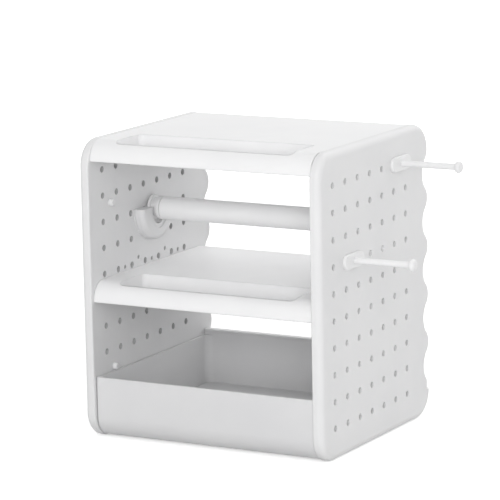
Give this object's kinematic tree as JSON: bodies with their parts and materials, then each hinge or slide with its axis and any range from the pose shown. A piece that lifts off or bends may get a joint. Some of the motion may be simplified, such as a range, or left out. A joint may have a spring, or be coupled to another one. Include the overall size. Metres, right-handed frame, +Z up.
{
  "type": "pegboard desk organizer with drawer and roll rod",
  "caption": "White plastic desk organizer with perforated wavy side panels, two pen-tray shelves, a pull-out drawer, a lift-out rod for rolls and plug-in peg hooks.",
  "frame": {"origin": "centre of the side panels' footprint, on the surface that the organizer stands on", "axes": "+X to the right seen from the drawer's front, +Y towards the open back, +Z up"},
  "size_m": [0.3185, 0.2276, 0.286],
  "materials": {
    "white_plastic": "fine satin moulded texture",
    "drawer_plastic": "smooth satin",
    "screw_steel": "zinc plated"
  },
  "bodies": {
    "housing": {"left_outer_shell": "white_plastic", "left_inner_plate": "white_plastic", "left_plate_screws": "screw_steel", "left_drawer_stops": "white_plastic", "right_outer_shell": "white_plastic", "right_inner_plate": "white_plastic", "right_plate_screws": "screw_steel", "right_drawer_stops": "white_plastic", "top_panel": "white_plastic", "middle_shelf": "white_plastic", "base_panel": "white_plastic", "left_roll_cradle": "white_plastic", "right_roll_cradle": "white_plastic"},
    "drawer": {"drawer": "drawer_plastic"},
    "rod_ends": {"left_rod_cap": "white_plastic", "right_rod_cap": "white_plastic"},
    "rod": {"rod_tube": "white_plastic"},
    "upper_hook": {"upper_peg_hook": "white_plastic"},
    "lower_hook": {"lower_peg_hook": "white_plastic"}
  },
  "joints": [
    {"name": "drawer_slide", "type": "slide", "parent": "housing", "child": "drawer", "axis": [0, -1, 0], "range_m": [0, 0.168]},
    {"name": "rod_lift", "type": "slide", "parent": "housing", "child": "rod_ends", "axis": [0, 0, 1], "range_m": [0, 0.03]},
    {"name": "rod_spin", "type": "hinge", "parent": "rod_ends", "child": "rod", "pos_m": [0, -0.0013, 0.2059], "axis": [1, 0, 0], "continuous": true},
    {"name": "upper_hook_pull", "type": "slide", "parent": "housing", "child": "upper_hook", "axis": [1, 0, 0], "range_m": [0, 0.011]},
    {"name": "lower_hook_pull", "type": "slide", "parent": "housing", "child": "lower_hook", "axis": [1, 0, 0], "range_m": [0, 0.011]}
  ]
}
